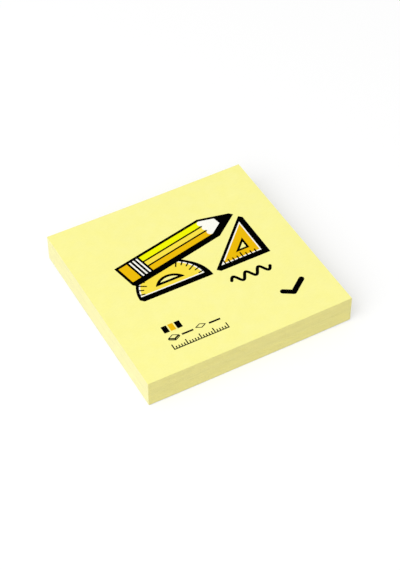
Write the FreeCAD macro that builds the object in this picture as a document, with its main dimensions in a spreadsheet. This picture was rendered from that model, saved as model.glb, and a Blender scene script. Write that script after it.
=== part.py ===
"""A new pad of square sticky notes, in millimetres.

A hundred notes are stacked on a backing sheet under a printed cover sheet.
Each note has a strip of low-tack adhesive on its underside, along one edge,
and that strip is all that holds it to the sheet below.

The pad lies on its backing sheet. X runs along a line of writing, Y runs up
the page to the bound edge, and Z runs up through the stack. The origin is
the middle of the pad's underside.
"""
import FreeCAD, Part
import Sketcher
import os

# The driving sizes: alias, value, what it measures.
SIZES = (
    ("note_width", 76.0, "across a note, along its bound edge"),
    ("note_depth", 76.0, "from a note's bound edge to its free edge"),
    ("sheet_count", 100, "notes in the stack, without the cover and the backing"),
    ("sheet_thickness", 0.09, "paper of one note"),
    ("sheet_gap", 0.011, "adhesive, and past it air, between two notes"),
    ("hairline_depth", 0.05, "how far the line between two notes goes in from their cut edges"),
    ("cover_thickness", 0.10, "paper of the printed cover sheet"),
    ("backing_thickness", 0.15, "coated paper under the lowest note"),
    ("adhesive_width", 19.0, "width of an adhesive strip, up the page"),
    ("adhesive_setback", 1.0, "bare paper between a strip and the bound edge"),
    ("adhesive_film", 0.02, "thickness of the strips under the stack and on top of it"),
)

# What follows from the driving sizes.
SHEET_PITCH = "(sizes.sheet_thickness + sizes.sheet_gap)"
STACK_HEIGHT = f"(sizes.sheet_count * {SHEET_PITCH} - sizes.sheet_gap)"
STACK_BASE = "(sizes.backing_thickness + sizes.adhesive_film)"
STACK_TOP = f"({STACK_BASE} + {STACK_HEIGHT})"
COVER_BASE = f"({STACK_TOP} + sizes.adhesive_film)"
BOUND_EDGE = "(sizes.note_depth / 2)"

# How a constraint names a sketch's origin and the two ends of a line.
ORIGIN_POINT = (-1, 1)
START, END = range(1, 3)

# Half the side of the square that an outline is drafted as, before its own sizes stretch it.
DRAFT = 10.0


def write_sizes(doc):
    """Puts the driving sizes into a spreadsheet, one aliased cell for each."""
    sheet = doc.addObject("Spreadsheet::Sheet", "sizes")
    for row, (alias, value, meaning) in enumerate(SIZES, start=1):
        sheet.set(f"A{row}", meaning)
        sheet.set(f"B{row}", str(value))
        sheet.setAlias(f"B{row}", alias)
    doc.recompute()
    return sheet


def new_body(doc, label, base_height):
    """A piece of the pad whose own origin lies at base_height on the pad's axis."""
    body = doc.addObject("PartDesign::Body", label)
    body.Label = label
    body.setExpression(".Placement.Base.z", base_height)
    return body


def origin_feature(body, role):
    """The plane or axis of a body's own origin that has this role."""
    return next(f for f in body.Origin.OriginFeatures if f.Role == role)


def rectangle(body, name, width, depth, upper_edge, height):
    """A sketched rectangle, centred in X, whose upper edge lies at upper_edge in Y.

    The sketch lies parallel to the paper, at height above the body's origin.
    """
    sketch = body.newObject("Sketcher::SketchObject", name)
    sketch.AttachmentSupport = (origin_feature(body, "XY_Plane"), [""])
    sketch.MapMode = "FlatFace"
    sketch.setExpression(".AttachmentOffset.Base.z", height)

    corners = [FreeCAD.Vector(x, y, 0) * DRAFT for x, y in ((-1, -1), (1, -1), (1, 1), (-1, 1))]
    lower, right, upper, left = range(4)
    for start, end in zip(corners, corners[1:] + corners[:1]):
        sketch.addGeometry(Part.LineSegment(start, end), False)
    for edge, following in ((lower, right), (right, upper), (upper, left), (left, lower)):
        sketch.addConstraint(Sketcher.Constraint("Coincident", edge, END, following, START))
    for edge in (lower, upper):
        sketch.addConstraint(Sketcher.Constraint("Horizontal", edge))
    for edge in (left, right):
        sketch.addConstraint(Sketcher.Constraint("Vertical", edge))

    dimensions = (
        (Sketcher.Constraint("DistanceX", lower, START, lower, END, 2 * DRAFT), width),
        (Sketcher.Constraint("DistanceX", *ORIGIN_POINT, lower, END, DRAFT), f"({width}) / 2"),
        (Sketcher.Constraint("DistanceY", right, START, right, END, 2 * DRAFT), depth),
        (Sketcher.Constraint("DistanceY", *ORIGIN_POINT, upper, START, DRAFT), upper_edge),
    )
    for constraint, size in dimensions:
        index = sketch.addConstraint(constraint)
        sketch.setExpression(f"Constraints[{index}]", size)
    return sketch


def plate(body, name, thickness, width="sizes.note_width", depth="sizes.note_depth",
          upper_edge=BOUND_EDGE, height="0"):
    """A flat rectangular layer of a body, as thick as it is told. It is a whole note by default."""
    outline = rectangle(body, f"{name}_outline", width, depth, upper_edge, height)
    pad = body.newObject("PartDesign::Pad", name)
    pad.Profile = outline
    pad.setExpression("Length", thickness)
    return pad


def single_sheet(doc, label, thickness, base_height):
    """A sheet the size of a note: the cover or the backing."""
    body = new_body(doc, label, base_height)
    plate(body, f"{label}_paper", thickness)
    return body


def adhesive_strip(doc, label, base_height):
    """The strip of adhesive along the bound edge that joins two sheets."""
    body = new_body(doc, label, base_height)
    plate(body, f"{label}_film", "sizes.adhesive_film", depth="sizes.adhesive_width",
          upper_edge=f"{BOUND_EDGE} - sizes.adhesive_setback")
    return body


def note_stack(doc, label):
    """The hundred notes as one block, with a hairline round the block between each two notes."""
    body = new_body(doc, label, STACK_BASE)
    plate(body, "lowest_note", "sizes.sheet_thickness")
    hairline = plate(
        body, "hairline_core", "sizes.sheet_gap",
        width="sizes.note_width - 2 * sizes.hairline_depth",
        depth="sizes.note_depth - 2 * sizes.hairline_depth",
        upper_edge=f"{BOUND_EDGE} - sizes.hairline_depth",
        height="sizes.sheet_thickness",
    )
    next_note = plate(body, "next_note", "sizes.sheet_thickness", height=SHEET_PITCH)

    notes = body.newObject("PartDesign::LinearPattern", "notes")
    notes.Originals = [hairline, next_note]
    notes.Direction = (origin_feature(body, "Z_Axis"), [""])
    notes.setExpression("Occurrences", "sizes.sheet_count - 1")
    notes.setExpression("Length", f"(sizes.sheet_count - 2) * {SHEET_PITCH}")
    body.Tip = notes
    return body


def check(doc, bodies):
    """Stops the build if any object failed, or a piece isn't one valid solid."""
    failed = [o.Name for o in doc.Objects if {"Invalid", "Error"} & set(o.State)]
    if failed:
        raise RuntimeError(f"these objects failed: {failed}")
    for body in bodies:
        shape = body.Shape
        if shape.isNull() or not shape.isValid() or len(shape.Solids) != 1:
            raise RuntimeError(f"{body.Label} isn't one valid solid")


def export(bodies):
    """Writes each piece to parts/ under its own name."""
    os.makedirs("parts", exist_ok=True)
    for body in bodies:
        body.Shape.exportStep(f"parts/{body.Label}.step")
        box = body.Shape.BoundBox
        print(f"{body.Label}: {box.XLength:.2f} x {box.YLength:.2f} x {box.ZLength:.3f} mm, "
              f"from z = {box.ZMin:.3f}, {body.Shape.Volume:.1f} mm3, {len(body.Shape.Faces)} faces")


def main():
    """Builds the pad from the backing sheet up and writes its pieces."""
    doc = FreeCAD.newDocument("sticky_note_pad")
    write_sizes(doc)
    bodies = [
        single_sheet(doc, "backing_sheet", "sizes.backing_thickness", "0"),
        adhesive_strip(doc, "backing_adhesive_strip", "sizes.backing_thickness"),
        note_stack(doc, "note_block"),
        adhesive_strip(doc, "cover_adhesive_strip", STACK_TOP),
        single_sheet(doc, "cover_sheet", "sizes.cover_thickness", COVER_BASE),
    ]
    doc.recompute()
    check(doc, bodies)
    export(bodies)


main()
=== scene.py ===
"""Looks of a new pad of square sticky notes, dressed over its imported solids.

The pad lies on its backing sheet. X runs along a line of writing, Y runs up the page to the bound
edge and Z runs up through the stack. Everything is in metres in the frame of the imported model, and
only the print is drawn in millimetres on its sheet. The whole stack shares one slight curl, every
note in it has its own cut edge, and the cover sheet carries a generic print of drawing tools.
"""

import functools
import logging
import math
from collections.abc import Iterable, Iterator
from dataclasses import dataclass
from enum import Enum

import bpy
import numpy as np
from mathutils import Euler, Matrix, Vector
from mathutils.geometry import delaunay_2d_cdt
from numpy.typing import ArrayLike


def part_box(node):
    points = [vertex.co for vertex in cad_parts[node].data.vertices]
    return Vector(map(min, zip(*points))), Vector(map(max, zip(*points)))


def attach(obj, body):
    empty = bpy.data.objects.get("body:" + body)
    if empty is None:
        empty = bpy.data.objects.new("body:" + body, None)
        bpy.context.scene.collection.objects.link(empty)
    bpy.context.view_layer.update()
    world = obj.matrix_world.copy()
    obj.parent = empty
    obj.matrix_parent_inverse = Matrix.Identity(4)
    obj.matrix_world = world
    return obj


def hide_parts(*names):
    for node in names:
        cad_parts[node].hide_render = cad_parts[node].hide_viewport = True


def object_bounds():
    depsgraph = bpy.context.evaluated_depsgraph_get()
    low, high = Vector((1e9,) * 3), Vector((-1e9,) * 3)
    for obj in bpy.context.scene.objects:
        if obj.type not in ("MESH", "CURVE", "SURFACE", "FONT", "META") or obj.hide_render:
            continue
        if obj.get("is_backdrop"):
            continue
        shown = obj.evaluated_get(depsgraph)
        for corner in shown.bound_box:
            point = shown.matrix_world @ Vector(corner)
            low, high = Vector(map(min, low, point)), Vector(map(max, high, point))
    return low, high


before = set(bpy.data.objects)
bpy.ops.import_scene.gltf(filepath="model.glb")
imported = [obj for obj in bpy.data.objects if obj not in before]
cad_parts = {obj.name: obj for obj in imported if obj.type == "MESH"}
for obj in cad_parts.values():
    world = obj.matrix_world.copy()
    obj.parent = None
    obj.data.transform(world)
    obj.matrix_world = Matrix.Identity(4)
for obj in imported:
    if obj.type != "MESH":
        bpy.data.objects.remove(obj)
CAD_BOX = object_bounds()

MM = 0.001
ROOT_BODY = "root"
# The name of the map that an export keeps and bakes a piece's colours through.
BAKE_MAP = "OFBake"
# The attribute that gives each note's cut edge its tone.
TONE = "tone"
# Faces that meet at more than this keep a sharp edge between them.
FOLD_ANGLE = math.radians(30.0)
# How far the print's hard shadow reaches across and up the page, in millimetres.
SHADOW = (1.2, -1.2)
# Width of the tools' black outline and of the white line inside it, and how far into the outline the
# ticks of their scales go, in millimetres.
OUTLINE = 1.05
KEYLINE = 0.45
OVERLAP = 0.105
# Millimetres between the points of an arc, and the fewest points that one has.
ARC_STEP = 0.2
ARC_POINTS = 5
# Angles round the end of a line, from one side to the other.
ROUND_END = np.linspace(0, np.pi, 9)[1:-1, None]
# Points of the print closer than this are one, in millimetres.
MERGE = 1e-5

log = logging.getLogger("sticky_note_pad")

Socket = bpy.types.NodeSocket
Value = float | tuple[float, ...] | Socket
Colour = tuple[float, float, float]
Point = tuple[float, float]
Tile = tuple[float, float, float, float]


def plain(numbers: Iterable) -> list:
    """Vectors or tuples, nested or not, as plain lists of floats."""
    return [plain(n) if hasattr(n, "__len__") else float(n) for n in numbers]


def placed(name: str, data: bpy.types.ID) -> bpy.types.Object:
    """A new object in the scene, at the origin and unturned.

    Args:
        name: the object's name.
        data: its mesh, lamp or camera.

    Returns:
        The object.
    """
    made = bpy.data.objects.new(name, data)
    bpy.context.scene.collection.objects.link(made)
    return made


def direction(bearing: float, height: float) -> Vector:
    """The way to a place, as a vector of length 1.

    Args:
        bearing: degrees anticlockwise from +X, seen from above.
        height: degrees above the desk.

    Returns:
        The height's cosine times the bearing's cosine and sine, and the height's sine.
    """
    turn, rise = math.radians(bearing), math.radians(height)
    return Vector((math.cos(rise) * math.cos(turn), math.cos(rise) * math.sin(turn), math.sin(rise)))


@dataclass(frozen=True)
class Tree:
    """A short way to write a shader node tree."""

    tree: bpy.types.NodeTree

    def feed(self, node: bpy.types.Node, socket: str | int, value: Value) -> None:
        """Links an output socket to an input, or sets the input's own value.

        Args:
            node: the node with the input.
            socket: the input's name or number.
            value: the output socket or the value.
        """
        if isinstance(value, Socket):
            self.tree.links.new(value, node.inputs[socket])
        else:
            node.inputs[socket].default_value = value

    def node(self, kind: str, **inputs: Value) -> bpy.types.Node:
        """Adds a node and sets its inputs.

        Args:
            kind: the node's type, without its "ShaderNode" start.
            inputs: values or output sockets, by the input's name with _ for a space.

        Returns:
            The new node.
        """
        made = self.tree.nodes.new(f"ShaderNode{kind}")
        for name, value in inputs.items():
            self.feed(made, name.replace("_", " "), value)
        return made

    def maths(self, operation: str, *values: Value, kind: str = "Math") -> Socket:
        """Adds a node that calculates.

        Args:
            operation: what it does with its values.
            values: numbers, or colours and places, in the order of its inputs.
            kind: Math for numbers, and VectorMath for colours and places.

        Returns:
            Its result.
        """
        made = self.node(kind)
        made.operation = operation
        for index, value in enumerate(values):
            self.feed(made, index, value)
        return made.outputs[0]

    def line(self, value: Socket, slope: Value, start: Value) -> Socket:
        """A number times a slope, plus a start."""
        return self.maths("MULTIPLY_ADD", value, slope, start)

    def shaded(self, colour: Socket, shade: Socket) -> Socket:
        """A colour times a number."""
        return self.maths("MULTIPLY", colour, shade, kind="VectorMath")

    def noise(self, place: Socket, repeats: tuple[float, float, float], detail: float = 2.0) -> Socket:
        """Soft noise about 0, from about -1 to 1.

        Args:
            place: where on the piece, in metres.
            repeats: how often the noise changes in a metre along X, Y and Z.
            detail: how many finer layers it has.

        Returns:
            The noise's value.
        """
        stretched = self.maths("MULTIPLY", place, repeats, kind="VectorMath")
        made = self.node("TexNoise", Scale=1.0, Detail=detail, Vector=stretched)
        return self.line(made.outputs["Fac"], 2.0, -1.0)


@dataclass(frozen=True)
class Finish:
    """One surface of the pad. Each kind of finish has a node group that draws its pattern.

    The tuples of three say how often a noise changes in a metre along X, Y and Z. SHINE is how much
    the relief changes the roughness, RELIEF how much of the bump's depth it has, and LEVEL its middle.
    """

    name: str
    tint: Colour  # the surface's own colour, linear
    roughness: float = 0.85  # the middle of its range
    specular: float = 0.25  # how strongly it reflects, 0.5 for an ordinary plastic
    bump: float = 0.004 * MM  # depth of the relief

    GROUP = "pattern"
    INPUTS = {"Place": "Vector", "Tint": "Color"}
    OUTPUTS = {"Color": "Color", "Rough": "Float", "Height": "Float"}
    SHINE = 0.04
    RELIEF = 0.5
    LEVEL = 0.5

    @classmethod
    @functools.cache
    def group(cls) -> bpy.types.NodeTree:
        """The kind's node group, built at its first use.

        Returns:
            The group, with its sockets and all its nodes.
        """
        made = bpy.data.node_groups.new(cls.GROUP, "ShaderNodeTree")
        for in_out, sockets in (("INPUT", cls.INPUTS), ("OUTPUT", cls.OUTPUTS)):
            for name, kind in sockets.items():
                made.interface.new_socket(name, in_out=in_out, socket_type=f"NodeSocket{kind}")
        tree = Tree(made)
        asked = made.nodes.new("NodeGroupOutput")
        drawn = cls.draw(tree, made.nodes.new("NodeGroupInput").outputs)
        for name, value in zip(cls.OUTPUTS, drawn):
            tree.feed(asked, name, value)
        return made

    @classmethod
    def draw(cls, tree: Tree, given: bpy.types.NodeOutputs) -> tuple[Socket, Socket, Socket]:
        """Adds the pattern's nodes to the group.

        Args:
            tree: the group's own tree.
            given: the group's inputs, by name.

        Returns:
            The pattern's colour, what it adds to the roughness, and its height from 0 to 1.
        """
        raise NotImplementedError

    def values(self, tree: Tree) -> dict[str, Value]:
        """What the kind's own inputs of the group are given, by name."""
        raise NotImplementedError

    @functools.cache
    def material(self) -> bpy.types.Material:
        """The material, made at its first use: its pattern feeds one Principled shader.

        Returns:
            The material.
        """
        made = bpy.data.materials.new(self.name)
        made.use_nodes = True
        made.diffuse_color = (*self.tint, 1.0)
        tree = Tree(made.node_tree)
        pattern = tree.node("Group")
        pattern.node_tree = self.group()
        place = tree.node("TexCoord").outputs["Object"]
        for name, value in {"Place": place, "Tint": (*self.tint, 1.0), **self.values(tree)}.items():
            tree.feed(pattern, name, value)
        shader = made.node_tree.nodes["Principled BSDF"]
        tree.feed(shader, "Specular IOR Level", self.specular)
        tree.feed(shader, "Base Color", pattern.outputs["Color"])
        tree.feed(shader, "Roughness", tree.maths("ADD", pattern.outputs["Rough"], self.roughness))
        bump = tree.node("Bump", Strength=1.0, Distance=self.bump, Height=pattern.outputs["Height"])
        tree.feed(shader, "Normal", bump.outputs[0])
        return made


@dataclass(frozen=True)
class PaperFinish(Finish):
    """Uncoated paper: a cloudy sheet, unevenly dyed, with short fibres mostly along its grain."""

    bump: float = 0.015 * MM
    cloud: float = 0.02  # how much the paper's clouds show
    dye: float = 0.12  # how unevenly it is dyed
    fibre: float = 0.036  # how much its fibres show

    GROUP = "paper_fibre"
    INPUTS = Finish.INPUTS | {"Cloud": "Float", "Dye": "Float", "Fibre": "Float"}
    CLOUDS = (150.0, 150.0, 150.0)
    PATCHES = (260.0, 260.0, 260.0)
    FIBRES = (900.0, 4200.0, 2600.0)
    FLECKS = (9000.0, 9000.0, 9000.0)
    FLECK_SHARE = 0.6

    @classmethod
    def draw(cls, tree: Tree, given: bpy.types.NodeOutputs) -> tuple[Socket, Socket, Socket]:
        """Clouds of about 6 mm, dye in patches of about 4 mm, and fibres of about 0.2 by 1.2 mm.

        Where the dye is thicker, the tint is raised to a higher power, as in a deeper layer of it.

        Args:
            tree: the group's own tree.
            given: the group's inputs, by name.

        Returns:
            Colour, roughness and height.
        """
        place = given["Place"]
        cloudy = tree.line(tree.noise(place, cls.CLOUDS, detail=3.0), given["Cloud"], 1.0)
        dye = tree.line(tree.noise(place, cls.PATCHES, detail=4.0), given["Dye"], 1.0)
        dyed = tree.node("Gamma", Color=given["Tint"], Gamma=dye).outputs["Color"]
        fibre = tree.noise(place, cls.FIBRES, detail=3.0)
        relief = tree.line(tree.noise(place, cls.FLECKS, detail=1.0), cls.FLECK_SHARE, fibre)
        colour = tree.shaded(dyed, tree.line(relief, given["Fibre"], cloudy))
        return colour, tree.maths("MULTIPLY", relief, cls.SHINE), tree.line(relief, cls.RELIEF, cls.LEVEL)

    def values(self, tree: Tree) -> dict[str, Value]:
        """Clouds, dye and fibres."""
        return {"Cloud": self.cloud, "Dye": self.dye, "Fibre": self.fibre}


@dataclass(frozen=True)
class CutFinish(Finish):
    """The cut edges of stacked paper, of slightly different tone, crossed by the blade's marks."""

    sheet: float = 0.03  # how much one sheet's tone differs from the next one's
    blade: float = 0.02  # how much the blade's marks show

    GROUP = "cut_edge"
    INPUTS = Finish.INPUTS | {"Tone": "Float", "Sheet": "Float", "Blade": "Float"}
    STREAKS = (260.0, 260.0, 9000.0)
    BLADE_MARKS = (2400.0, 2400.0, 60.0)
    MOTTLE = (240.0, 240.0, 420.0)
    RELIEF = 0.25

    @classmethod
    def draw(cls, tree: Tree, given: bpy.types.NodeOutputs) -> tuple[Socket, Socket, Socket]:
        """Long streaks along the sheets, blade marks up the stack and a slow mottle over both.

        Args:
            tree: the group's own tree.
            given: the group's inputs, by name.

        Returns:
            Colour, roughness and height.
        """
        streak = tree.noise(given["Place"], cls.STREAKS)
        blade = tree.noise(given["Place"], cls.BLADE_MARKS)
        mottle = tree.noise(given["Place"], cls.MOTTLE)
        sheets = tree.line(tree.maths("ADD", given["Tone"], streak), given["Sheet"], 1.0)
        marks = tree.maths("ADD", blade, mottle)
        colour = tree.shaded(given["Tint"], tree.line(marks, given["Blade"], sheets))
        height = tree.line(tree.maths("ADD", streak, blade), cls.RELIEF, cls.LEVEL)
        return colour, tree.maths("MULTIPLY", streak, cls.SHINE), height

    def values(self, tree: Tree) -> dict[str, Value]:
        """The two shares, and each sheet's tone, which is the mesh's attribute of that name.

        Args:
            tree: the material's tree.

        Returns:
            The values, by the input's name.
        """
        tone = tree.node("Attribute")
        tone.attribute_name = TONE
        return {"Tone": tone.outputs["Fac"], "Sheet": self.sheet, "Blade": self.blade}


@dataclass(frozen=True)
class InkFinish(Finish):
    """Offset ink on paper: nearly even, with pinholes where the paper shows."""

    paper: Colour = (0.96, 0.92, 0.33)  # what shows in the pinholes

    GROUP = "ink_film"
    INPUTS = Finish.INPUTS | {"Paper": "Color"}
    PINHOLES = (9000.0, 9000.0, 9000.0)
    THICKNESS = (420.0, 420.0, 420.0)
    UNEVEN = 0.03
    SHINE = 0.06
    # The share of paper in a pinhole: the noise times a slope, plus a start, from 0 up to a most.
    SLOPE, START, MOST = 1.6, -0.85, 0.25

    @classmethod
    def draw(cls, tree: Tree, given: bpy.types.NodeOutputs) -> tuple[Socket, Socket, Socket]:
        """Pinholes of about 0.1 mm over a slow change in the film's thickness.

        The colour is the ink's, plus the share of paper times what the paper has more than the ink.

        Args:
            tree: the group's own tree.
            given: the group's inputs, by name.

        Returns:
            Colour, roughness and height.
        """
        fine = tree.noise(given["Place"], cls.PINHOLES)
        slow = tree.noise(given["Place"], cls.THICKNESS)
        pinhole = tree.maths("MINIMUM", tree.line(fine, cls.SLOPE, cls.START), cls.MOST)
        share = tree.maths("MAXIMUM", pinhole, 0.0)
        more = tree.maths("SUBTRACT", given["Paper"], given["Tint"], kind="VectorMath")
        film = tree.maths("MULTIPLY_ADD", more, share, given["Tint"], kind="VectorMath")
        colour = tree.shaded(film, tree.line(slow, cls.UNEVEN, 1.0))
        return colour, tree.maths("MULTIPLY", fine, cls.SHINE), tree.line(fine, cls.RELIEF, cls.LEVEL)

    def values(self, tree: Tree) -> dict[str, Value]:
        """The paper under the ink."""
        return {"Paper": (*self.paper, 1.0)}


CANARY = (0.960, 0.917, 0.322)
NOTE_FACE = PaperFinish("note_face", CANARY)
COVER_FACE = PaperFinish("cover_face", CANARY)
# Cut edges. The side cut, on the left and right ends, is paler and bluer than the end cut on the free and
# bound edges: a painted highlight, as of light glancing off the cut. The end cut's tint is the notes' own.
END_CUT = CutFinish("end_cut", (0.955, 0.885, 0.354))
SIDE_CUT_PAINTED_HIGHLIGHT = CutFinish("side_cut_painted_highlight", (0.955, 0.915, 0.508))
BACKING_FACE = PaperFinish("backing_face", (0.80, 0.79, 0.70), roughness=0.55, specular=0.4)
BACKING_CUT = CutFinish("backing_cut", (0.76, 0.75, 0.66))
ADHESIVE = PaperFinish("adhesive_film", (0.84, 0.82, 0.55), roughness=0.45, specular=0.4, cloud=0.05)


class Ink(Enum):
    """The inks of the cover's print, and the bare paper that shows in its windows."""

    PAPER = COVER_FACE
    KEYLINE = InkFinish("ink_keyline", (0.97, 0.96, 0.87), 0.75, 0.2)
    LEMON = InkFinish("ink_lemon", (0.89, 0.915, 0.001), 0.65, 0.03)
    GOLD = InkFinish("ink_gold", (0.945, 0.755, 0.065), 0.65, 0.03)
    ORANGE = InkFinish("ink_orange", (0.845, 0.50, 0.002), 0.65, 0.03)
    BLACK = InkFinish("ink_black", (0.0008, 0.0008, 0.0006), 0.65, 0.0, paper=(0.008, 0.0075, 0.005))


# An area of one ink and its corners, anticlockwise, in millimetres on the cover.
Patch = tuple[Ink, np.ndarray]


def new_piece(node: str, points: np.ndarray, faces: list[np.ndarray], slots: list[int | np.ndarray],
              finishes: list[Finish]) -> bpy.types.Object:
    """Makes a mesh object from whole arrays.

    Args:
        node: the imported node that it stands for.
        points: the vertices, one row each.
        faces: arrays of vertex numbers, each array with one face to a row.
        slots: for each array of faces, the number of their finish, or a number for each face.
        finishes: the finishes.

    Returns:
        The object, at the origin, unturned.
    """
    name = f"{node}_dressed"
    mesh = bpy.data.meshes.new(name)
    corners = np.concatenate([f.ravel() for f in faces]).astype(np.int32)
    counts = np.concatenate([np.full(len(f), f.shape[1], np.int32) for f in faces])
    worn = np.concatenate([np.broadcast_to(slot, len(f)) for slot, f in zip(slots, faces)])
    mesh.vertices.add(len(points))
    mesh.vertices.foreach_set("co", points.astype(np.float32).ravel())
    mesh.loops.add(len(corners))
    mesh.loops.foreach_set("vertex_index", corners)
    mesh.polygons.add(len(counts))
    mesh.polygons.foreach_set("loop_start", np.concatenate([[0], np.cumsum(counts)[:-1]]).astype(np.int32))
    mesh.polygons.foreach_set("material_index", worn.astype(np.int32))
    for finish in finishes:
        mesh.materials.append(finish.material())
    mesh.update(calc_edges=True)
    mesh.set_sharp_from_angle(angle=FOLD_ANGLE)
    return placed(name, mesh)


def strip(lower: np.ndarray, upper: np.ndarray) -> np.ndarray:
    """The faces of the bands between closed rings, facing outwards when upper lies above lower.

    Args:
        lower: the point numbers of one ring, or of several, one ring to a row.
        upper: the same for the ring above each.

    Returns:
        One square face to a row.
    """
    corners = [lower, np.roll(lower, -1, axis=-1), np.roll(upper, -1, axis=-1), upper]
    return np.stack(corners, axis=-1).reshape(-1, 4)


def unrolled(levels: np.ndarray, around: int) -> np.ndarray:
    """Where the corners of the bands round a piece lie when they are unrolled into one long strip.

    Args:
        levels: how far up the strip each ring of points lies, from 0 to 1.
        around: points in each ring.

    Returns:
        For each face of each band, rows of U and V for its four corners, from 0 to 1.
    """
    start = np.arange(around) / around
    end = start + 1 / around
    across = np.stack([start, end, end, start], axis=1)[None]
    up = np.stack([levels[:-1], levels[:-1], levels[1:], levels[1:]], axis=1)[:, None]
    return np.stack(np.broadcast_arrays(across, up), axis=-1).reshape(-1, 4, 2)


def lay_out(piece: bpy.types.Object, tiles: list[tuple[np.ndarray, Tile]]) -> None:
    """Gives a piece the map through which an export bakes its colours.

    Args:
        piece: the object.
        tiles: for each array of faces, U and V of its corners from 0 to 1, and the left, low,
            right and high sides of the rectangle of the map that they fill.
    """
    places = [
        (corners * (np.array(sides[2:]) - sides[:2]) + sides[:2]).reshape(-1, 2) for corners, sides in tiles
    ]
    layer = piece.data.uv_layers.new(name=BAKE_MAP, do_init=False)
    layer.uv.foreach_set("vector", np.concatenate(places).astype(np.float32).ravel())


def smooth_noise(rng: np.random.Generator, count: int, waves: int, columns: int) -> np.ndarray:
    """Smooth random curves round a closed ring.

    Each curve is a sum of sine waves, with 1 to so many turns round the ring. Each wave has a
    random phase and strength, and the strengths are scaled so that the curve's spread is about 1.

    Args:
        rng: the source of the random draws.
        count: points round the ring.
        waves: the most turns that a wave has.
        columns: how many curves.

    Returns:
        One row for each point and one column for each curve.
    """
    turns = np.arange(1, waves + 1)
    phase = rng.uniform(0, 2 * np.pi, (waves, columns))
    strength = rng.normal(0, 1, (waves, columns)) / np.sqrt(waves / 2)
    angle = 2 * np.pi * np.arange(count) / count
    return (np.sin(turns[None, :, None] * angle[:, None, None] + phase) * strength).sum(axis=1)


@dataclass(frozen=True)
class Curl:
    """The slight curl that every sheet of the pad shares, as its edges rise off the desk."""

    half_width: float  # from the middle of the pad to its left or right edge
    half_depth: float  # from the middle of the pad to its free or bound edge
    sides: float = 0.22 * MM  # how far the left and the right edges rise
    corners: float = 0.08 * MM  # how much further the two right-hand corners rise

    def lift(self, x: np.ndarray, y: np.ndarray) -> np.ndarray:
        """How far a sheet is raised at each point.

        The left and right edges rise with the square of the distance from the middle. The
        right-hand corners rise further, with the square of the distance up or down the page.

        Args:
            x: places across the page.
            y: places up the page.

        Returns:
            The rise at each place, from 0 at the middle of the pad.
        """
        across = x / self.half_width
        along = y / self.half_depth
        return self.sides * across**2 + self.corners * along**2 * (1 + across) / 2


@dataclass(frozen=True)
class Sheet:
    """A rectangle of paper or adhesive in the stack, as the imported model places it."""

    low: Vector  # its lowest corner, flat
    high: Vector  # its highest corner, flat
    curl: Curl  # the curl that it follows
    steps: int = 48  # how many facets it has along each side

    @property
    def around(self) -> int:
        """How many points its outline has."""
        return 4 * self.steps

    def places(self, across: np.ndarray, up: np.ndarray) -> np.ndarray:
        """Rows of X and Y for shares of the sheet's width and depth, from 0 to 1."""
        low, high = np.array(self.low.xy), np.array(self.high.xy)
        return low + np.column_stack([across, up]) * (high - low)

    def shares(self, points: np.ndarray) -> np.ndarray:
        """How far across and up the sheet each point lies, from 0 to 1."""
        low, high = np.array(self.low.xy), np.array(self.high.xy)
        return (points[..., :2] - low) / (high - low)

    def ring(self) -> np.ndarray:
        """Points round the sheet's outline, anticlockwise from its low corner.

        Returns:
            Four times as many rows of X and Y as the sheet has steps.
        """
        along = np.linspace(0.0, 1.0, self.steps, endpoint=False)
        nought, one = np.zeros(self.steps), np.ones(self.steps)
        across = np.concatenate([along, one, 1 - along, nought])
        return self.places(across, np.concatenate([nought, along, one, 1 - along]))

    def sides(self) -> np.ndarray:
        """For each facet of the outline, 0 if it lies along X and 1 if it lies along Y."""
        return (np.arange(self.around) // self.steps) % 2

    def inner_grid(self) -> np.ndarray:
        """Points of an even grid inside the outline, row by row, without those on it.

        Returns:
            Rows of X and Y.
        """
        along = np.linspace(0.0, 1.0, self.steps + 1)[1:-1]
        across, up = np.meshgrid(along, along)
        return self.places(across.ravel(), up.ravel())

    def cap(self) -> np.ndarray:
        """The faces that fill the outline, for a ring followed by its inner grid.

        The grid's points are numbered row by row and the ring's points round the outline, so a
        square table of numbers, with the ring along its border, gives every face's corners.

        Returns:
            One square face to a row, facing up.
        """
        n = self.steps
        table = np.zeros((n + 1, n + 1), np.int64)
        table[1:-1, 1:-1] = 4 * n + np.arange((n - 1) ** 2).reshape(n - 1, n - 1)
        table[0, :-1] = np.arange(n)
        table[:-1, -1] = n + np.arange(n)
        table[-1, 1:] = (2 * n + np.arange(n))[::-1]
        table[1:, 0] = (3 * n + np.arange(n))[::-1]
        corners = [table[:-1, :-1], table[:-1, 1:], table[1:, 1:], table[1:, :-1]]
        return np.stack(corners, axis=-1).reshape(-1, 4)

    def raised(self, flat: np.ndarray, height: float | np.ndarray) -> np.ndarray:
        """Flat points put at a height, or at a height each, and lifted by the curl."""
        return np.column_stack([flat, height + self.curl.lift(flat[:, 0], flat[:, 1])])


@dataclass(frozen=True)
class Layer:
    """A piece of the pad."""

    node: str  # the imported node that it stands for
    slot: str  # the record's material slot for the piece, not used
    curl: Curl  # the pad's curl

    @functools.cached_property
    def sheet(self) -> Sheet:
        """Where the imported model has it."""
        return Sheet(*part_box(self.node), self.curl)

    def build(self) -> bpy.types.Object:
        """Makes its mesh and dresses it.

        Returns:
            The finished object.
        """
        raise NotImplementedError


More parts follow.
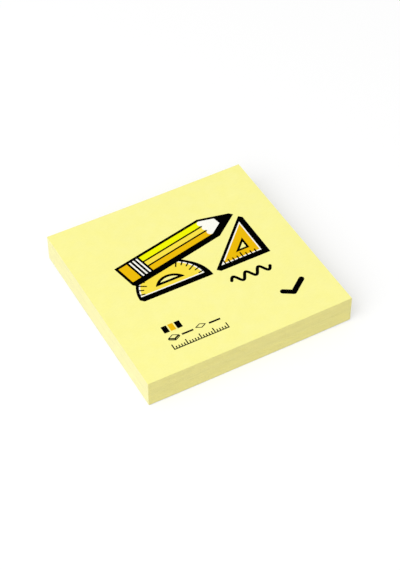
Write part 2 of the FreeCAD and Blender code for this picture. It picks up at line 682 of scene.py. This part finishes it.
@dataclass(frozen=True)
class PlainSheet(Layer):
    """A single sheet or strip with nothing on it: the backing, or an adhesive strip."""

    face: Finish  # the finish of its two faces
    edge: Finish  # the finish of its cut edges
    seed: int  # for the wavering
    waver: float = 0.02 * MM  # how far its outline wavers in its plane
    waves: int = 9  # the most times that it wavers round the outline

    def build(self) -> bpy.types.Object:
        """Two lifted grids and the band between them.

        Returns:
            The finished object.
        """
        sheet = self.sheet
        flat = np.concatenate([sheet.ring(), sheet.inner_grid()])
        rng = np.random.default_rng(self.seed)
        flat[:sheet.around] += smooth_noise(rng, sheet.around, self.waves, 2) * self.waver
        points = np.concatenate([sheet.raised(flat, sheet.low.z), sheet.raised(flat, sheet.high.z)])
        ring = np.arange(sheet.around)
        faces = [sheet.cap()[:, ::-1], sheet.cap() + len(flat), strip(ring, ring + len(flat))]
        return new_piece(self.node, points, faces, [0, 0, 1], [self.face, self.edge])


@dataclass(frozen=True)
class NoteBlock(Layer):
    """The hundred notes, each with its own cut edge and a hairline between it and the next."""

    sheets: int = 100  # how many notes there are
    thickness: float = 0.09 * MM  # of one note
    groove: float = 0.22 * MM  # how far the hairline between two notes goes in
    stray: float = 0.012 * MM  # how far a note lies in or out of the stack, as a spread
    uneven: float = 0.6  # how far its edge wavers, as a share of that
    edge_waves: int = 30  # the most times that an edge wavers round the outline
    blade: float = 0.05 * MM  # how far the blade wandered on its way down the stack
    # The fewest and the most times that it wandered there and back.
    blade_turns: tuple[float, float] = (0.4, 0.9)
    blade_phase: float = 6.0  # the most that its wandering had advanced at the top, in radians
    loose_free: float = 0.75  # how much the hairlines open and close at the free edge
    loose_bound: float = 0.4  # the same at the bound edge, where adhesive holds the notes
    gap_waves: int = 40  # the most times that a hairline opens and closes round the outline
    tone: float = 0.6  # how much the notes' tones differ, as a spread
    tone_limit: float = 1.5  # the most that a tone differs from the middle
    # Height on the map of a cut edge, the ledge over it, the hairline and the next ledge.
    shares: Tile = (1.0, 0.2, 0.15, 0.2)
    seed: int = 76  # for the stack's small irregularities

    # Where the map has the skin, the underside and the top, and how high one of its two rows is.
    SKIN_TILE = (0.004, 0.22, 0.996, 0.996)
    UNDER_TILE = (0.004, 0.004, 0.21, 0.21)
    OVER_TILE = (0.22, 0.004, 0.426, 0.21)
    ROW = 0.49

    def levels(self, rng: np.random.Generator) -> tuple[np.ndarray, np.ndarray]:
        """Where each note's underside and top lie, at each point round the outline.

        Every note has the same thickness. The gaps between notes open and close along the edge by
        smooth noise, and are scaled so that the stack has its full height everywhere.

        Args:
            rng: the source of the random draws.

        Returns:
            Two arrays with a row for each note and a column for each point.
        """
        sheet = self.sheet
        up_the_page = sheet.shares(sheet.ring())[:, 1]
        loose = self.loose_free + (self.loose_bound - self.loose_free) * up_the_page
        gaps = np.exp(loose * smooth_noise(rng, sheet.around, self.gap_waves, self.sheets - 1).T)
        gaps *= (sheet.high.z - sheet.low.z - self.sheets * self.thickness) / gaps.sum(axis=0)
        under = np.zeros((self.sheets, sheet.around))
        under[1:] = np.cumsum(self.thickness + gaps, axis=0)
        under += sheet.low.z
        return under, under + self.thickness

    def outlines(self, rng: np.random.Generator) -> np.ndarray:
        """Each note's outline, flat.

        A note strays in its plane as a whole, and its cut edges also follow the blade, which
        wandered slowly on its way down and left each note's edge a little uneven.

        Args:
            rng: the source of the random draws.

        Returns:
            For each note, rows of X and Y round its outline.
        """
        ring = self.sheet.ring()
        down = np.linspace(0, 2 * np.pi, self.sheets)[:, None]
        outward = np.zeros((self.sheets, *ring.shape))
        for axis, half in enumerate((self.curl.half_width, self.curl.half_depth)):
            side = np.where(np.isclose(np.abs(ring[:, axis]), half), np.sign(ring[:, axis]), 0.0)
            for sign in (-1.0, 1.0):
                turns = rng.uniform(*self.blade_turns)
                moved = self.blade * np.sin(down * turns + rng.uniform(0, self.blade_phase))
                moved = moved + rng.normal(0, self.stray, (self.sheets, 1))
                waver = smooth_noise(rng, self.sheet.around, self.edge_waves, self.sheets).T
                moved = moved + self.stray * self.uneven * waver
                outward[:, :, axis] += np.where(side == sign, sign * moved, 0.0)
        return ring + outward

    def build(self) -> bpy.types.Object:
        """The stack's skin: cut edges, the ledges and floors of the hairlines, and its two faces.

        From the bottom up, each note has four rings of points: the inner end of the ledge under
        it, the two sides of its cut edge, and the inner end of the ledge over it. The lowest note
        has no ledge under it, and the highest none over it.

        Returns:
            The finished object, with a tone for each note.
        """
        rng = np.random.default_rng(self.seed)
        sheet, around = self.sheet, self.sheet.around
        under, over = self.levels(rng)
        outlines = self.outlines(rng)
        inward = outlines * (1 - self.groove / np.array([self.curl.half_width, self.curl.half_depth]))
        flat = np.stack([inward, outlines, outlines, inward], axis=1).reshape(-1, 2)[around:-around]
        heights = np.stack([under, under, over, over], axis=1).ravel()[around:-around]
        grid = sheet.inner_grid()
        points = np.concatenate([
            sheet.raised(flat, heights), sheet.raised(grid, sheet.low.z), sheet.raised(grid, sheet.high.z),
        ])
        rings = np.arange(len(flat)).reshape(-1, around)
        cap, top = sheet.cap(), rings[-1, 0]
        underside = (cap + np.where(cap < around, 0, top))[:, ::-1]
        upper = cap + np.where(cap < around, top, top + len(grid))
        faces = [strip(rings[:-1], rings[1:]), underside, upper]
        # Edges along X take the end cut, and edges along Y the side cut with its painted highlight.
        slots = [np.tile(sheet.sides() + 1, len(rings) - 1), 0, 0]
        piece = new_piece(self.node, points, faces, slots, [NOTE_FACE, END_CUT, SIDE_CUT_PAINTED_HIGHLIGHT])
        tones = np.clip(rng.normal(0, self.tone, self.sheets), -self.tone_limit, self.tone_limit)
        tone = np.concatenate([np.repeat(tones, 4 * around)[around:-around], np.zeros(2 * len(grid))])
        piece.data.attributes.new(TONE, "FLOAT", "POINT").data.foreach_set("value", tone.astype(np.float32))
        lay_out(piece, [
            (self.folded(len(rings)), self.SKIN_TILE),
            (sheet.shares(points[underside]), self.UNDER_TILE),
            (sheet.shares(points[upper]), self.OVER_TILE),
        ])
        return piece

    def folded(self, rings: int) -> np.ndarray:
        """The unrolled skin in two rows, with more height for the notes than for their hairlines.

        A face that starts in the second half of the strip goes to the second row.

        Args:
            rings: how many rings of points the skin has.

        Returns:
            For each face, rows of U and V for its four corners, from 0 to 1.
        """
        heights = np.tile(self.shares, self.sheets)[:rings - 1]
        places = unrolled(np.concatenate([[0.0], np.cumsum(heights)]) / heights.sum(), self.sheet.around)
        second = places[:, :1, 0] >= 0.5
        up = self.ROW * places[..., 1] + (1 - self.ROW) * second
        return np.stack([2 * places[..., 0] - second, up], axis=-1)


def arc(centre: Point, radius: float, start: float, end: float) -> np.ndarray:
    """Points along a circle.

    Args:
        centre: the circle's middle.
        radius: of the circle.
        start: the first point's angle in degrees, anticlockwise from X.
        end: the last point's angle.

    Returns:
        Rows of X and Y: the middle plus the radius times each angle's cosine and sine.
    """
    count = max(ARC_POINTS, int(abs(math.radians(end - start)) * radius / ARC_STEP) + 1)
    angle = np.radians(np.linspace(start, end, count))
    return np.asarray(centre) + radius * np.column_stack([np.cos(angle), np.sin(angle)])


def box(left: float, low: float, right: float, high: float) -> np.ndarray:
    """The corners of an upright rectangle, anticlockwise."""
    return np.array([(left, low), (right, low), (right, high), (left, high)])


def turned(outline: ArrayLike, degrees: float, at: Point) -> np.ndarray:
    """An outline turned anticlockwise about the origin, and then moved there."""
    cosine, sine = math.cos(math.radians(degrees)), math.sin(math.radians(degrees))
    return np.asarray(outline) @ np.array([[cosine, sine], [-sine, cosine]]) + np.asarray(at)


def grown(outline: ArrayLike, by: float) -> np.ndarray:
    """An outline with every side moved outwards by the same distance, or inwards if it is negative.

    A corner moves along the sum of its two sides' outward directions, divided by one plus their
    dot product, times the distance.

    Args:
        outline: the corners, anticlockwise.
        by: the distance.

    Returns:
        The moved corners.
    """
    outline = np.asarray(outline, float)
    ahead = np.roll(outline, -1, axis=0) - outline
    ahead /= np.linalg.norm(ahead, axis=1, keepdims=True)
    after = np.column_stack([ahead[:, 1], -ahead[:, 0]])
    before = np.roll(after, 1, axis=0)
    return outline + by * (after + before) / (1 + (after * before).sum(axis=1, keepdims=True))


def swept(outline: ArrayLike) -> np.ndarray:
    """What a convex outline covers as it slides as far as its shadow falls: its hard drop shadow.

    A side whose outward direction has a positive dot product with the slide goes to the far end
    of it, and the others stay. Where the two kinds meet, both ends of the corner's slide are kept.

    Args:
        outline: the corners, anticlockwise.

    Returns:
        The corners of the covered area.
    """
    outline = np.asarray(outline)
    ahead = np.roll(outline, -1, axis=0) - outline
    far = (ahead[:, 1] * SHADOW[0] - ahead[:, 0] * SHADOW[1] > 0)[:, None]
    both = np.stack([outline, np.roll(outline, -1, axis=0)], axis=1) + (far * np.asarray(SHADOW))[:, None]
    kept = np.stack([np.ones_like(far), far != np.roll(far, -1)], axis=1).ravel()
    return both.reshape(-1, 2)[kept]


def stroke(path: np.ndarray, width: float) -> np.ndarray:
    """The outline of a line of one width with round ends.

    Each side lies half the width from the path, at right angles to it, and each end is a half circle.

    Args:
        path: points along the line's middle.
        width: of the line.

    Returns:
        The outline, anticlockwise.
    """
    ahead = np.gradient(path, axis=0)
    ahead *= width / 2 / np.linalg.norm(ahead, axis=1, keepdims=True)
    side = np.column_stack([-ahead[:, 1], ahead[:, 0]])
    far_end = path[-1] - np.cos(ROUND_END) * side[-1] + np.sin(ROUND_END) * ahead[-1]
    near_end = path[0] + np.cos(ROUND_END) * side[0] - np.sin(ROUND_END) * ahead[0]
    return np.concatenate([path - side, far_end, (path + side)[::-1], near_end])


@dataclass(frozen=True)
class Ticks:
    """The tick marks of a scale."""

    tall: float  # height of the taller ones
    short: float  # height of the others
    every: int  # how many ticks it is from one taller tick to the next
    width: float = 0.52  # of a tick

    def mark(self, number: int, x: float, y: float) -> np.ndarray:
        """One tick's outline.

        Args:
            number: the tick's number in its scale.
            x: the middle of its foot, across the page.
            y: its foot, up the page.

        Returns:
            The corners of an upright rectangle, anticlockwise.
        """
        height = self.short if number % self.every else self.tall
        return box(x - self.width / 2, y, x + self.width / 2, y + height)


class Drawing:
    """Something that is printed on the cover."""

    def patches(self) -> Iterator[Patch]:
        """Its areas, in the order in which they are drawn."""
        raise NotImplementedError


@dataclass(frozen=True)
class Protractor(Drawing):
    """A half-round drawing tool, flat side down, with ticks along its rim."""

    centre: Point = (-10.6, -4.4)  # the middle of its flat side
    radius: float = 13.0  # of its rim
    window: float = 5.2  # radius of its half-round window
    sill: float = 4.0  # how far the window's flat side lies above the tool's own
    ticks: Ticks = Ticks(tall=2.805, short=1.805, every=3)  # its scale
    pitch: int = 10  # from one tick to the next, in degrees

    def half_disc(self, radius: float, base: float) -> np.ndarray:
        """The part of a disc that lies above a level, measured from the tool's flat side."""
        edge = math.degrees(math.asin(base / radius))
        return arc(self.centre, radius, edge, 180 - edge)

    def patches(self) -> Iterator[Patch]:
        """Outline, keyline, field, window and ticks.

        Returns:
            Its areas, in order.
        """
        inset = OUTLINE + KEYLINE
        yield Ink.BLACK, swept(self.half_disc(self.radius, 0.0))
        yield Ink.KEYLINE, self.half_disc(self.radius - OUTLINE, OUTLINE)
        yield Ink.GOLD, self.half_disc(self.radius - inset, inset)
        yield Ink.BLACK, self.half_disc(self.window + OUTLINE, self.sill - OUTLINE)
        yield Ink.PAPER, self.half_disc(self.window, self.sill)
        for number in range(1, 180 // self.pitch):
            mark = self.ticks.mark(number, 0.0, OUTLINE - OVERLAP - self.radius)
            yield Ink.BLACK, turned(mark, 90 + self.pitch * number, self.centre)


@dataclass(frozen=True)
class SetSquare(Drawing):
    """A right-angled drawing tool with a window and a scale along its lower side."""

    # Of its outline, the right angle second.
    corners: tuple[Point, ...] = ((5.4, -4.4), (24.6, -4.4), (24.6, 14.8))
    border: float = 4.9  # from its outline to its window
    rim: float = 0.84  # width of the window's black outline
    ticks: Ticks = Ticks(tall=2.5, short=1.6, every=4)  # its scale
    count: int = 8  # how many ticks that has
    zero: float = 23.18  # where a tick of number 0 would stand
    pitch: float = 1.7  # from one tick to the next

    def patches(self) -> Iterator[Patch]:
        """Outline, keyline, field, window and scale.

        Returns:
            Its areas, in order.
        """
        yield Ink.BLACK, swept(self.corners)
        yield Ink.KEYLINE, grown(self.corners, -OUTLINE)
        yield Ink.ORANGE, grown(self.corners, -OUTLINE - KEYLINE)
        yield Ink.BLACK, grown(self.corners, self.rim - self.border)
        yield Ink.PAPER, grown(self.corners, -self.border)
        foot = self.corners[0][1] + OUTLINE - OVERLAP
        for number in range(1, self.count + 1):
            yield Ink.BLACK, self.ticks.mark(number, self.zero - self.pitch * number, foot)


@dataclass(frozen=True)
class Pencil(Drawing):
    """A hexagonal pencil seen from the side, drawn over the other tools.

    Its sizes run along it from its middle, which is where it is placed on the sheet.
    """

    middle: Point = (-1.3, 12.6)  # where it lies
    turn: float = 12.0  # its slope in degrees
    half: float = 3.9  # half its width
    rear: float = -21.8  # where its eraser ends
    eraser: float = 4.0  # length of the eraser
    ferrule: float = 4.4  # length of the metal band
    shoulder: float = 13.6  # where the sharpened part starts
    point: float = 21.8  # where its lead ends
    lead: float = 0.38  # the share of the sharpened part that is lead
    ridge: float = 0.66  # width of the line between two facets
    crimp: float = 0.84  # width of the lines across the metal band
    crimps: int = 4  # how many of them there are

    def patches(self) -> Iterator[Patch]:
        """All the pencil's areas, turned and put in place.

        Returns:
            Its areas, in order.
        """
        half, rear, shoulder = self.half, self.rear, self.shoulder
        body = ((rear, -half), (shoulder, -half), (self.point, 0.0), (shoulder, half), (rear, half))
        yield Ink.BLACK, swept(turned(grown(body, OUTLINE), self.turn, self.middle))
        for ink, area in self.inside():
            yield ink, turned(area, self.turn, self.middle)

    def inside(self) -> Iterator[Patch]:
        """What lies inside the outline, before it is turned: facets, wood, lead, ferrule, eraser.

        Returns:
            Its areas, in order.
        """
        half, rear, shoulder, point = self.half, self.rear, self.shoulder, self.point
        neck = rear + self.eraser
        grip = neck + self.ferrule
        facet = 2 * half / 3
        for number, ink in enumerate((Ink.ORANGE, Ink.GOLD, Ink.LEMON)):
            low = -half + number * facet
            yield ink, box(grip, low, shoulder, low + facet)
        for edge in (-facet / 2, facet / 2):
            yield Ink.BLACK, box(grip, edge - self.ridge / 2, shoulder, edge + self.ridge / 2)
        scallops = [arc((shoulder, (number - 1) * facet), facet / 2, 270, 90) for number in range(3)]
        yield Ink.KEYLINE, np.concatenate([*scallops, [(point, 0.0)]])
        back, high = point - (point - shoulder) * self.lead, half * self.lead
        yield Ink.BLACK, np.array([(back, -high), (point, 0.0), (back, high)])
        yield Ink.KEYLINE, box(neck, -half, grip, half)
        for place in np.linspace(neck, grip, self.crimps):
            yield Ink.BLACK, box(place - self.crimp / 2, -half, place + self.crimp / 2, half)
        yield Ink.ORANGE, box(rear, -half, neck - self.crimp / 2, half)


@dataclass(frozen=True)
class Squiggle(Drawing):
    """A short wavy line under the set square."""

    start: Point = (7.4, -11.4)  # its left end
    length: float = 14.8  # from its left end to its right end
    waves: float = 3.0  # how many waves it makes
    swing: float = 1.5  # how far it swings to each side
    width: float = 1.15  # of its line
    points: int = 90  # how many points its path has

    def patches(self) -> Iterator[Patch]:
        """A sine wave as a line of one width.

        Returns:
            Its only area.
        """
        along = np.linspace(0, 1, self.points)
        wave = np.column_stack([along * self.length, self.swing * np.sin(2 * np.pi * self.waves * along)])
        yield Ink.BLACK, stroke(np.asarray(self.start) + wave, self.width)


@dataclass(frozen=True)
class CheckMark(Drawing):
    """A bold check mark near the right edge."""

    knee: Point = (22.9, -26.0)  # where its two strokes meet
    ends: tuple[Point, Point] = ((19.8, -24.0), (28.2, -22.0))  # its left end and its right end
    width: float = 2.0  # of its line

    def patches(self) -> Iterator[Patch]:
        """Two strokes that meet at the knee."""
        for end in self.ends:
            yield Ink.BLACK, stroke(np.linspace(self.knee, end, 3), self.width)


@dataclass(frozen=True)
class ColourBar(Drawing):
    """Three small blocks of ink, as a printer puts beside a job."""

    corner: Point = (-23.3, -21.5)  # the lower left corner of the first block
    block: Point = (1.95, 3.1)  # width and height of a block
    pitch: float = 2.4  # from one block to the next
    inks: tuple[Ink, ...] = (Ink.BLACK, Ink.ORANGE, Ink.BLACK)  # of the blocks, from the left

    def patches(self) -> Iterator[Patch]:
        """One block of each ink, side by side.

        Returns:
            Its areas, in order.
        """
        left, low = self.corner
        for number, ink in enumerate(self.inks):
            start = left + number * self.pitch
            yield ink, box(start, low, start + self.block[0], low + self.block[1])


@dataclass(frozen=True)
class PadSign(Drawing):
    """A small sign of a pad of notes lying on a desk, with a dash after it."""

    middle: Point  # the middle of the pad's top
    thick: float  # its thickness, as it is drawn, 0 for a single sheet
    reach: Point = (2.1, 1.05)  # half its width and half its depth, as it is drawn
    line: float = 0.32  # width of its lines
    gap: float = 0.8  # from the pad to the dash
    dash: Point = (4.2, 0.75)  # length and width of the dash

    def patches(self) -> Iterator[Patch]:
        """The pad's outline, the faces inside it and the dash.

        Returns:
            Its areas, in order.
        """
        (x, y), (wide, deep) = self.middle, self.reach
        left, near, right, far = top = np.array([(x - wide, y), (x, y - deep), (x + wide, y), (x, y + deep)])
        low_left, low_near, low_right, _ = top - (0.0, self.thick)
        if self.thick:
            yield Ink.BLACK, np.array([low_left, low_near, low_right, right, far, left])
            for side in ((low_left, low_near, near, left), (right, near, low_near, low_right)):
                yield Ink.PAPER, grown(side, -self.line)
        yield Ink.BLACK, top
        yield Ink.PAPER, grown(top, -self.line)
        start = x + wide + self.gap
        yield Ink.BLACK, box(start, y - self.dash[1], start + self.dash[0], y)


@dataclass(frozen=True)
class Ruler(Drawing):
    """A scale with a tick at each millimetre."""

    left: float = -23.6  # its first tick
    base: float = -29.3  # the lower side of its base line
    length: int = 20  # of the scale, in whole millimetres
    line: float = 0.42  # width of its base line
    ticks: Ticks = Ticks(tall=2.29, short=1.19, every=5, width=0.42)  # its scale

    def patches(self) -> Iterator[Patch]:
        """The base line and its ticks.

        Returns:
            Its areas, in order.
        """
        half = self.line / 2
        end = self.left + self.length
        yield Ink.BLACK, box(self.left - half, self.base, end + half, self.base + self.line)
        for number in range(self.length + 1):
            yield Ink.BLACK, self.ticks.mark(number, self.left + number, self.base + half)


@dataclass(frozen=True)
class CoverSheet(Layer):
    """The printed sheet on top: one closed sheet whose upper face is divided along its print."""

    # What is printed, in the order in which it is drawn.
    drawings: tuple[Drawing, ...] = (
        Protractor(), SetSquare(), Pencil(), Squiggle(), CheckMark(), ColourBar(),
        PadSign((-21.4, -24.0), 0.8), PadSign((-11.4, -24.0), 0.0), Ruler(),
    )

    # Where the map has the underside, the cut edges and the top.
    UNDER_TILE = (0.78, 0.004, 0.996, 0.22)
    BAND_TILE = (0.004, 0.79, 0.996, 0.82)
    OVER_TILE = (0.004, 0.004, 0.77, 0.77)

    def build(self) -> bpy.types.Object:
        """The printed upper face, the plain underside and the band between them.

        Returns:
            The finished object.
        """
        sheet = self.sheet
        patches = [patch for drawing in self.drawings for patch in drawing.patches()]
        flat, triangles = self.divided(patches)
        below = np.concatenate([sheet.ring(), sheet.inner_grid()])
        points = np.concatenate([sheet.raised(below, sheet.low.z), sheet.raised(flat, sheet.high.z)])
        ring = np.arange(sheet.around)
        under, band, over = sheet.cap()[:, ::-1], strip(ring, ring + len(below)), triangles + len(below)
        # The band's edges along X take the end cut, and those along Y the side cut with its painted
        # highlight.
        slots = [0, sheet.sides() + len(Ink), self.inks_of(flat[triangles].mean(axis=1), patches)]
        finishes = [ink.value for ink in Ink] + [END_CUT, SIDE_CUT_PAINTED_HIGHLIGHT]
        piece = new_piece(self.node, points, [under, band, over], slots, finishes)
        lay_out(piece, [
            (sheet.shares(points[under]), self.UNDER_TILE),
            (unrolled(np.array([0.0, 1.0]), sheet.around), self.BAND_TILE),
            (sheet.shares(points[over]), self.OVER_TILE),
        ])
        return piece

    def divided(self, patches: list[Patch]) -> tuple[np.ndarray, np.ndarray]:
        """Triangles that fill the sheet and have every patch's outline among their sides.

        The ring's points come first and keep their order, so that the band below can join them.

        Args:
            patches: the print.

        Returns:
            The points, and three of their numbers for each triangle, facing up.
        """
        loops = [self.sheet.ring()] + [outline * MM for _, outline in patches]
        firsts = np.cumsum([0] + [len(loop) for loop in loops])
        sides = [
            first + np.column_stack([np.arange(len(loop)), np.roll(np.arange(len(loop)), -1)])
            for first, loop in zip(firsts, loops)
        ]
        given = np.concatenate([*loops, self.sheet.inner_grid()]) / MM
        found = delaunay_2d_cdt(given.tolist(), np.concatenate(sides).tolist(), [], 0, MERGE, False)
        return np.array(found[0]) * MM, np.array(found[2])

    def inks_of(self, middles: np.ndarray, patches: list[Patch]) -> np.ndarray:
        """The number of the ink on top at each place.

        A place lies inside an outline when a line from it along X crosses an odd number of sides.

        Args:
            middles: the places, in metres.
            patches: the print.

        Returns:
            One number for each place, in the order of the inks.
        """
        inks = list(Ink)
        shown = np.zeros(len(middles), np.int64)
        places = middles / MM
        for ink, first in patches:
            second = np.roll(first, -1, axis=0)
            near = np.flatnonzero(((places >= first.min(axis=0)) & (places <= first.max(axis=0))).all(axis=1))
            x, y = places[near, :1], places[near, 1:]
            spans = (first[:, 1] > y) != (second[:, 1] > y)
            rise = np.where(second[:, 1] == first[:, 1], 1.0, second[:, 1] - first[:, 1])
            crossing = first[:, 0] + (y - first[:, 1]) * (second[:, 0] - first[:, 0]) / rise
            inside = (spans & (x < crossing)).sum(axis=1) % 2 == 1
            shown[near[inside]] = inks.index(ink)
        return shown


@dataclass(frozen=True)
class Lamp:
    """A square softbox that points at the pad."""

    name: str  # of the lamp
    bearing: float  # where it stands, in degrees anticlockwise from +X, seen from above
    height: float  # its angle above the desk
    level: float  # how bright it lights a surface that faces it, where 1 shows a colour as it is
    side: float  # length of its side
    distance: float  # from the pad

    def build(self) -> None:
        """An area lamp. Its power is the level times pi squared times the distance squared."""
        data = bpy.data.lights.new(self.name, "AREA")
        data.shape = "SQUARE"
        data.size = self.side
        data.energy = self.level * math.pi**2 * self.distance**2
        lamp = placed(self.name, data)
        way = direction(self.bearing, self.height)
        lamp.location = way * self.distance
        lamp.rotation_euler = way.to_track_quat("Z", "Y").to_euler()


@dataclass(frozen=True)
class Viewpoint:
    """The camera, placed as the photograph was taken."""

    # The point in the middle of the picture, in metres.
    target: tuple[float, float, float] = (-0.51 * MM, -3.45 * MM, 5.2 * MM)
    azimuth: float = -27.74  # its angle round the pad in degrees, where 0 looks along +Y
    elevation: float = 46.32  # its angle above the desk
    roll: float = -1.16  # how far it is turned about its own line of sight
    distance: float = 530.5 * MM  # from the target
    focal_pixels: float = 1564.8  # focal length in pixels of the picture
    picture_height: float = 570.0  # pixels along the picture's long side
    sensor: float = 36.0  # width of its sensor in millimetres
    nearest: float = 10.0 * MM  # the nearest thing that it sees

    def build(self) -> None:
        """A camera that looks at the target."""
        data = bpy.data.cameras.new("photo_camera")
        data.sensor_width = self.sensor
        data.lens = self.focal_pixels * self.sensor / self.picture_height
        data.clip_start = self.nearest
        camera = placed("photo_camera", data)
        camera.location = Vector(self.target) + direction(self.azimuth - 90, self.elevation) * self.distance
        tilt, turn, roll = (math.radians(angle) for angle in (90 - self.elevation, self.azimuth, self.roll))
        upright = Euler((tilt, 0.0, turn)).to_matrix()
        camera.rotation_euler = (upright @ Matrix.Rotation(roll, 3, "Z")).to_euler()
        bpy.context.scene.camera = camera


@dataclass(frozen=True)
class Studio:
    """A white table in a white room, under a soft lamp."""

    room_level: float = 0.56  # how bright the room lights the pad from all round
    floor_colour: float = 0.60  # the table's own grey
    floor_glow: float = 0.42  # what the camera sees of it besides, which makes it white
    floor_roughness: float = 0.9  # of the table top
    floor_radius: float = 4.0  # of the table top
    floor_corners: int = 64  # how many corners its rim has
    lamp: Lamp = Lamp("key", bearing=204.0, height=46.0, level=0.84, side=1.6, distance=1.6)  # the softbox
    camera: Viewpoint = Viewpoint()  # where the picture is taken from

    def seen_directly(self, tree: Tree) -> Socket:
        """1 where the camera sees a surface directly, in a mirror or through glass, and 0 elsewhere.

        Args:
            tree: the tree that asks.

        Returns:
            The number.
        """
        path = tree.node("LightPath").outputs
        seen = tree.maths("MAXIMUM", path["Is Camera Ray"], path["Is Glossy Ray"])
        return tree.maths("MAXIMUM", seen, path["Is Transmission Ray"])

    def room(self) -> None:
        """A room that is white to the camera and lights the pad at the room's level."""
        world = bpy.data.worlds.new("room")
        world.use_nodes = True
        tree = Tree(world.node_tree)
        background = world.node_tree.nodes["Background"]
        tree.feed(background, "Color", (1.0, 1.0, 1.0, 1.0))
        level = tree.line(self.seen_directly(tree), 1.0 - self.room_level, self.room_level)
        tree.feed(background, "Strength", level)
        bpy.context.scene.world = world

    def floor(self) -> None:
        """A round table top that is white to the camera and keeps the pad's shadow."""
        material = bpy.data.materials.new("table_top")
        material.use_nodes = True
        tree = Tree(material.node_tree)
        shader = material.node_tree.nodes["Principled BSDF"]
        tree.feed(shader, "Base Color", (*[self.floor_colour] * 3, 1.0))
        tree.feed(shader, "Roughness", self.floor_roughness)
        tree.feed(shader, "Specular IOR Level", 0.0)
        tree.feed(shader, "Emission Color", (1.0, 1.0, 1.0, 1.0))
        glow = tree.maths("MULTIPLY", self.seen_directly(tree), self.floor_glow)
        tree.feed(shader, "Emission Strength", glow)
        angle = np.linspace(0, 2 * np.pi, self.floor_corners, endpoint=False)
        rim = np.column_stack([np.cos(angle), np.sin(angle), np.zeros_like(angle)]) * self.floor_radius
        mesh = bpy.data.meshes.new("table_top")
        mesh.from_pydata(rim.tolist(), [], [list(range(self.floor_corners))])
        mesh.materials.append(material)
        placed("table_top", mesh)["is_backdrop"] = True

    def build(self) -> None:
        """Room, table, lamp and camera, and a plain view of their light."""
        self.room()
        self.floor()
        self.lamp.build()
        self.camera.build()
        bpy.context.scene.view_settings.view_transform = "Standard"


def report(piece: bpy.types.Object, layer: Layer) -> None:
    """Attaches a piece to the root body, hides the imported part that it stands for, and logs it.

    Args:
        piece: the finished object.
        layer: what it was built from.
    """
    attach(piece, ROOT_BODY)
    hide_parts(layer.node)
    triangles = sum(len(p.vertices) - 2 for p in piece.data.polygons)
    log.info("%s: %d triangles, stands for %s", piece.name, triangles, layer.node)


def main() -> None:
    """Builds the studio and then the pad, from the backing up."""
    logging.basicConfig(level=logging.INFO, format="%(name)s: %(message)s")
    Studio().build()
    _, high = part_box("note_block")
    curl = Curl(half_width=high.x, half_depth=high.y)
    layers = (
        PlainSheet("backing_sheet", "backing_paper", curl, BACKING_FACE, BACKING_CUT, seed=1),
        PlainSheet("backing_adhesive_strip", "adhesive", curl, ADHESIVE, ADHESIVE, seed=2),
        NoteBlock("note_block", "note_paper", curl),
        PlainSheet("cover_adhesive_strip", "adhesive", curl, ADHESIVE, ADHESIVE, seed=3),
        CoverSheet("cover_sheet", "cover_paper", curl),
    )
    for layer in layers:
        report(layer.build(), layer)
    {"cad": plain(CAD_BOX), "visual": plain(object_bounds())}


if __name__ == "__main__":
    main()
